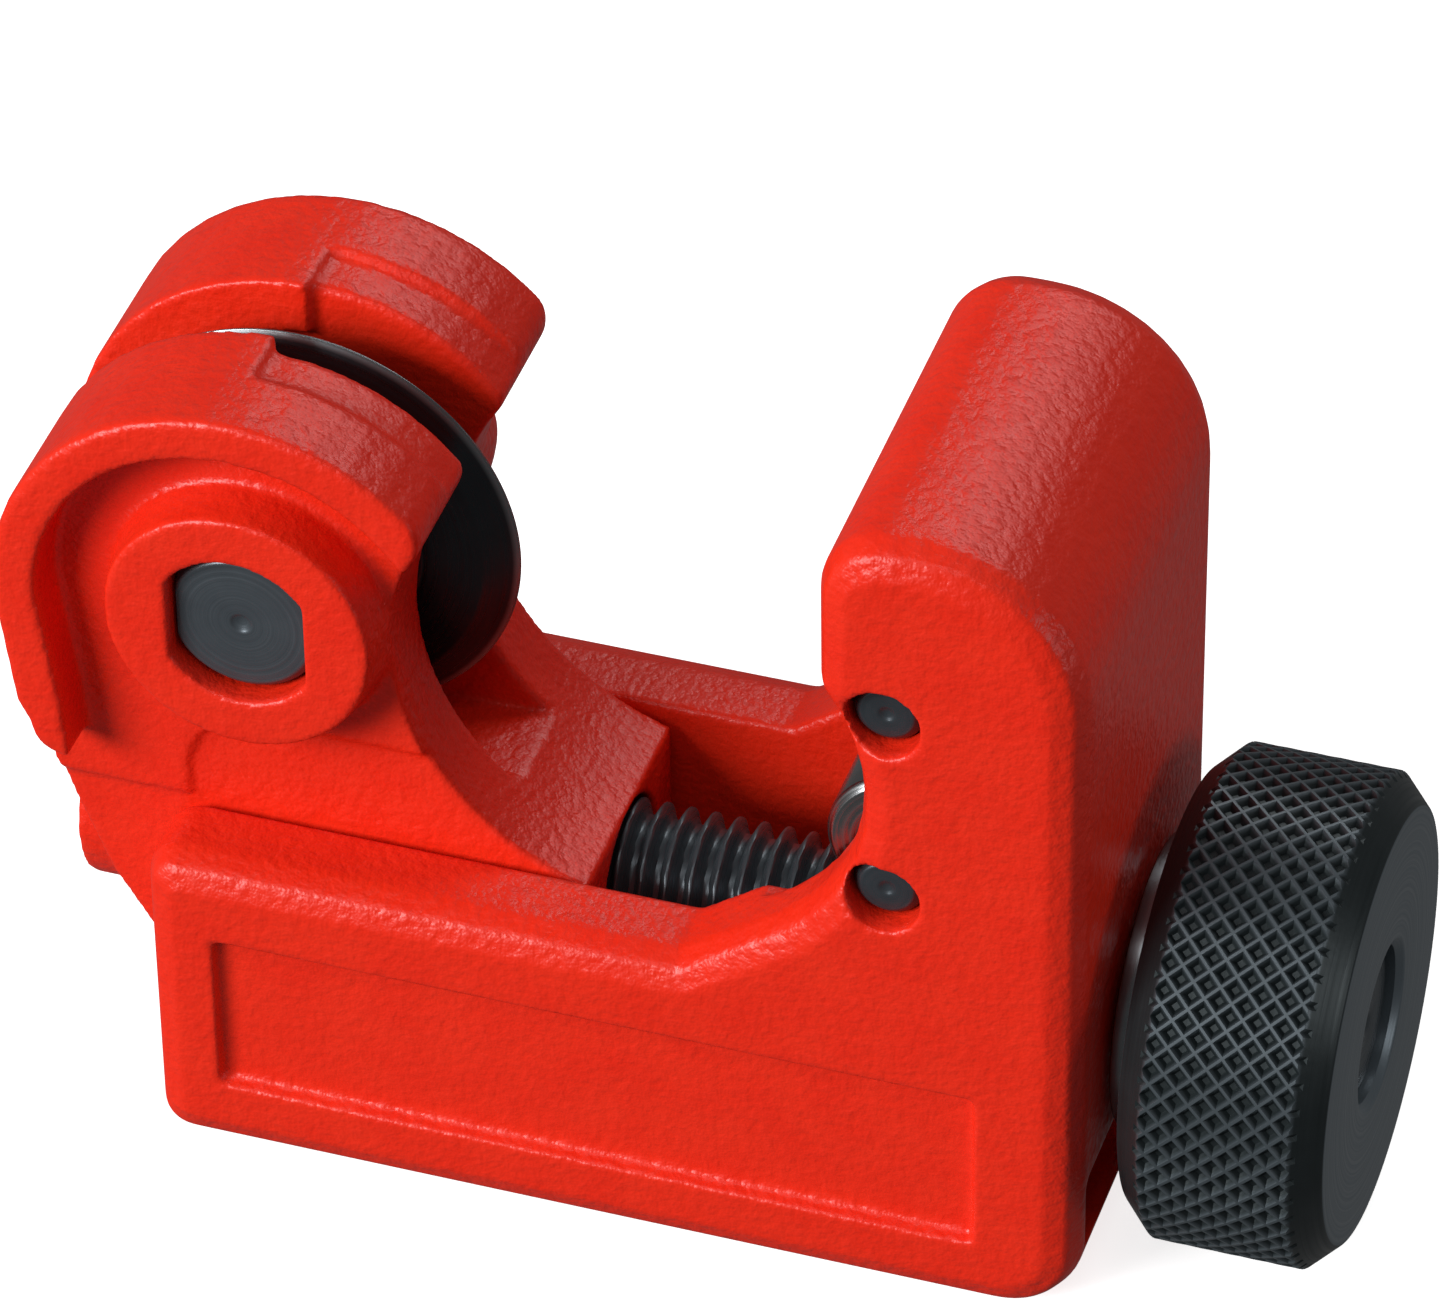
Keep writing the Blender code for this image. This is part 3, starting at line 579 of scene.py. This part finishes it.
# %% [markdown]
# ## Feed screw
# The screw has a right-hand thread of 1 mm pitch for most of its length, so one turn of the knob
# moves the carriage 1 mm. A thread could be spun along its axis as a strip, but its two ends
# would then need closing. Here a plain bar is turned with many rings, and each ring's points are
# moved in to the thread's floor or left at its crest, depending on how far round they are.

# %% Feed screw
THREAD_PITCH = 1.0 * MM
THREAD_DEPTH = 0.61 * MM
THREAD_FLOOR = 0.25          # widths of the flats at the thread's floor and crest, in pitches
THREAD_CREST = 0.125
THREAD_END_GAP = 1.1 * MM    # plain bar between the thread's end and the clip's groove
RINGS_PER_TURN = 14
SCREW_CHAMFER = 0.5 * MM
KNOB_END_CHAMFER = 0.25 * MM
SCREW_DIMPLE = 0.5 * MM
SCREW_GROOVE_FLOOR = 2.3 * MM


def thread_height(x, turn):
    """0 at the thread's floor and 1 at its crest, for a place along the bar and a turn."""
    phase = (x / THREAD_PITCH - turn) % 1.0
    slope = (1.0 - abs(2 * phase - 1.0) - THREAD_FLOOR) / (1.0 - THREAD_FLOOR - THREAD_CREST)
    return min(1.0, max(0.0, slope))


def make_screw():
    low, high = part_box("feed_screw")
    clip_low, clip_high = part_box("screw_clip")
    radius = (high.z - low.z) / 2
    groove = (clip_low.x - CLIP_PLAY, clip_high.x + CLIP_PLAY)
    thread_end = groove[0] - THREAD_END_GAP
    rings = round((thread_end - low.x) / THREAD_PITCH * RINGS_PER_TURN)
    dimple = SCREW_DIMPLE * DIMPLE_SLOPE
    profile = [(0, low.x + dimple), (SCREW_DIMPLE, low.x)]
    profile += [(radius, low.x + (thread_end - low.x) * i / rings) for i in range(rings + 1)]
    profile += [
        (radius, groove[0]), (SCREW_GROOVE_FLOOR, groove[0]), (SCREW_GROOVE_FLOOR, groove[1]),
        (radius, groove[1]), (radius, high.x - KNOB_END_CHAMFER),
        (radius - KNOB_END_CHAMFER, high.x), (SCREW_DIMPLE, high.x), (0, high.x - dimple),
    ]
    bm = turned(profile, screw_axis, X_AXIS, steps=48)
    for vert in bm.verts:
        across = vert.co - screw_axis
        across.x = 0
        if across.length < radius * 0.99 or vert.co.x > thread_end:
            continue
        turn = math.atan2(across.z, across.y) / math.tau
        fade = min(1.0, (thread_end - vert.co.x) / THREAD_PITCH)
        cut = THREAD_DEPTH * fade * (1.0 - thread_height(vert.co.x, turn))
        chamfer = max(0.0, SCREW_CHAMFER - (vert.co.x - low.x))
        reach = (radius - max(cut, chamfer)) / radius
        vert.co.yz = (screw_axis + across * reach).yz
    steel = turned_steel("blackened_screw_steel", *blackened_steel, screw_axis, X_AXIS, 0.32,
                         metal=OXIDE_METAL)
    finished("threaded_screw", bm, "feed", steel, "feed_screw", sharp=40)


make_screw()

# %% [markdown]
# ## Thrust washer
# A flat steel washer stands between the knob and the casting, so that the knob does not rub the
# paint away. Its rim is seen edge on, as a bright crescent.

# %% Washer
SCREW_BORE = 3.15 * MM       # radius of the hole round the screw, in the washer and in the knob


def make_washer():
    low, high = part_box("thrust_washer")
    radius = (high.z - low.z) / 2
    profile = [(SCREW_BORE, low.x), (radius, low.x), (radius, high.x), (SCREW_BORE, high.x)]
    bm = turned(softened(profile, 0.15 * MM), screw_axis, X_AXIS, steps=128)
    steel = turned_steel("turned_washer_steel", "8d9295", "6c7174", screw_axis, X_AXIS, 0.28)
    finished("knob_washer", bm, "feed", steel, "thrust_washer")


make_washer()

# %% [markdown]
# ## Knurled knob
# Two sets of crossing helical grooves rolled into a knob leave a net of thin ridges round
# diamond-shaped pits, which gives a firm grip. The net starts as a grid of square cells wrapped
# round the knob. Poking each cell gives it a middle point, and dissolving the cells' own edges
# leaves diamonds. Each diamond is inset once for its ridge and again, downwards, for its pit.
# The sleeve is then cut by a turned blank, as the knurled bar is chamfered on the lathe.

# %% Knurl
KNURL_COUNT = 58             # diamonds round the knob
KNURL_RIDGE = 0.055 * MM     # half the width of a ridge's top
KNURL_SLOPE = 0.2 * MM
KNURL_DEPTH = 0.26 * MM


def wrapped(bm, radius):
    """Wraps a flat sheet round the screw axis: its Y becomes the way round."""
    for vert in bm.verts:
        angle = vert.co.y / radius
        across = Vector((0, math.cos(angle), math.sin(angle))) * radius
        vert.co = Vector((vert.co.x, 0, 0)) + screw_axis + across


def knurled_sleeve(x_low, x_high, radius):
    pitch = math.tau * radius / KNURL_COUNT
    rows = math.ceil((x_high - x_low) / pitch) + 1
    bm = bmesh.new()
    bmesh.ops.create_grid(bm, x_segments=rows, y_segments=KNURL_COUNT, size=0.5)
    bmesh.ops.scale(bm, verts=bm.verts, vec=(rows * pitch, KNURL_COUNT * pitch, 1))
    bmesh.ops.translate(bm, verts=bm.verts, vec=((x_low + x_high) / 2, 0, 0))
    wrapped(bm, radius)
    bmesh.ops.remove_doubles(bm, verts=bm.verts, dist=1e-6)
    cell_edges = [e for e in bm.edges if not e.is_boundary]
    poked = bmesh.ops.poke(bm, faces=bm.faces[:], center_mode="MEAN")
    for vert in poked["verts"]:
        across = vert.co - screw_axis
        across.x = 0
        vert.co.yz = (screw_axis + across.normalized() * radius).yz
    bmesh.ops.dissolve_edges(bm, edges=cell_edges, use_verts=False)
    bmesh.ops.recalc_face_normals(bm, faces=bm.faces)
    diamonds = [f for f in bm.faces if len(f.verts) == 4]
    bmesh.ops.inset_individual(bm, faces=diamonds, thickness=KNURL_RIDGE, use_even_offset=True)
    bmesh.ops.inset_individual(bm, faces=diamonds, thickness=KNURL_SLOPE, depth=-KNURL_DEPTH,
                               use_even_offset=True)
    rims = [e for e in bm.edges if e.is_boundary]
    bmesh.ops.holes_fill(bm, edges=rims, sides=0)
    bmesh.ops.recalc_face_normals(bm, faces=bm.faces)
    return bm


# %% Knob
KNOB_CHAMFER = 1.2 * MM
BORE_CHAMFER = 0.3 * MM
BLANK_MARGIN = 0.05 * MM     # the blank stands this far out of the knurl, so it only cuts the ends
RIDGE_WEAR_AND_HIGHLIGHT_START = 0.14 * MM     # depth below the ridges' tops where the wear and painted highlight start to show
RIDGE_WEAR_AND_HIGHLIGHT_FULL = 0.02 * MM
LIT_FACE_FADE = 0.05 * MM        # the end face's painted light fades into the chamfer over this width


def knob_steel(radius):
    """Black oxide: almost black on the knurl, with the ridges' tops lightened for wear and painted
    highlight, and the end face lightened as painted light.
    """
    material, tree, shader = new_material("black_oxide_on_turned_steel", Metallic=OXIDE_METAL)
    reach = distance_from_axis(tree, screw_axis, X_AXIS)
    # Painted highlight and wear: the ridges' tops are lightened, both for the wear they take and
    # for the light they catch.
    worn_and_highlit_ridges = add(tree, "ShaderNodeMapRange", {
        "Value": reach, "From Min": radius - RIDGE_WEAR_AND_HIGHLIGHT_START, "From Max": radius - RIDGE_WEAR_AND_HIGHLIGHT_FULL,
        "To Max": 0.5,
    }).outputs["Result"]
    face_edge = radius - KNOB_CHAMFER
    # Painted light: the flat end face gets the light tone, standing for the lamp on the right that
    # falls on it.
    face = add(tree, "ShaderNodeMapRange", {
        "Value": reach, "From Min": face_edge, "From Max": face_edge + LIT_FACE_FADE,
        "To Min": 1.0, "To Max": 0.0,
    }).outputs["Result"]
    light = add(tree, "ShaderNodeMath", {0: worn_and_highlit_ridges, 1: face}, operation="MAXIMUM").outputs["Value"]
    dark = cloudy_tone(tree, "2f3739", "22292b")
    # The light tone 687279 is worn metal and painted highlight on the ridges, and painted light on
    # the end face.
    tone = add(tree, "ShaderNodeMix", {
        MIX_FACTOR: light, MIX_FROM: dark, MIX_TO: colour("687279"),
    }, data_type="RGBA").outputs[MIX_RESULT]
    tree.links.new(tone, shader.inputs["Base Color"])
    ringed(tree, shader, screw_axis, X_AXIS, 0.3, 0.44, 0.6)
    return material


def make_knob():
    low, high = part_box("knob")
    radius = (high.z - low.z) / 2
    blank_radius = radius + BLANK_MARGIN
    profile = [
        (SCREW_BORE, low.x), (blank_radius - KNOB_CHAMFER, low.x),
        (blank_radius, low.x + KNOB_CHAMFER), (blank_radius, high.x - KNOB_CHAMFER),
        (blank_radius - KNOB_CHAMFER, high.x),
        (SCREW_BORE + BORE_CHAMFER, high.x), (SCREW_BORE, high.x - BORE_CHAMFER),
    ]
    blank = draft("knob_blank", turned(softened(profile, 0.12 * MM), screw_axis, X_AXIS, 116))
    sleeve = draft("knurl_draft", knurled_sleeve(low.x, high.x, radius))
    chamfered = sleeve.modifiers.new("chamfered", "BOOLEAN")
    chamfered.operation = "INTERSECT"
    chamfered.solver = "EXACT"
    chamfered.object = blank
    bm = evaluated(sleeve)
    for helper in (blank, sleeve):
        bpy.data.objects.remove(helper)
    finished("knurled_knob", bm, "feed", knob_steel(radius), "knob", sharp=25)


make_knob()

# %% [markdown]
# ## Floor and light
# The tool stands on white card. The card is left out of the light that bounces on to the tool
# and of what the tool mirrors, because it would wash out the red and grey the black steel. A
# large soft box at the front left lights the faces, one behind draws glints along the rounded
# tops, and a strip overhead and a weak light on the right fill in.


# %% Floor
def make_floor():
    bm = bmesh.new()
    bmesh.ops.create_grid(bm, x_segments=1, y_segments=1, size=3.0)
    mesh = bpy.data.meshes.new("white_card_floor")
    bm.to_mesh(mesh)
    bm.free()
    floor = bpy.data.objects.new("white_card_floor", mesh)
    bpy.context.scene.collection.objects.link(floor)
    material, _, _ = new_material("matt_white_card", Base_Color=colour("f6f6f6"), Roughness=0.9,
                                  Emission_Color=colour("ffffff"), Emission_Strength=0.8)
    floor.visible_diffuse = False
    floor.visible_glossy = False
    mesh.materials.append(material)


make_floor()


# %% Lights
def soft_box(name, azimuth, elevation, distance, width, height, power):
    """An area light aimed at the middle of the tool."""
    a, e = math.radians(azimuth), math.radians(elevation)
    away = Vector((math.sin(a) * math.cos(e), -math.cos(a) * math.cos(e), math.sin(e)))
    data = bpy.data.lights.new(name, "AREA")
    data.shape = "RECTANGLE"
    data.size, data.size_y = width, height
    data.energy = power
    light = bpy.data.objects.new(name, data)
    light.location = CAMERA_AIM + away * distance
    light.rotation_mode = "QUATERNION"
    light.rotation_quaternion = (-away).to_track_quat("-Z", "Y")
    light.visible_camera = False
    bpy.context.scene.collection.objects.link(light)


soft_box("front_soft_box", -42, 21, 0.8, 0.45, 0.35, 7.5)
soft_box("overhead_strip", 5, 62, 0.7, 0.5, 0.1, 0.6)
soft_box("rear_soft_box", 168, 46, 0.8, 0.6, 0.25, 1.8)
soft_box("right_fill", 88, 10, 0.8, 0.3, 0.3, 0.75)

world = bpy.data.worlds.new("studio")
world.use_nodes = True
world.node_tree.nodes["Background"].inputs["Color"].default_value = colour("ffffff")
world.node_tree.nodes["Background"].inputs["Strength"].default_value = 0.12
bpy.context.scene.world = world
bpy.context.scene.view_settings.view_transform = "Standard"
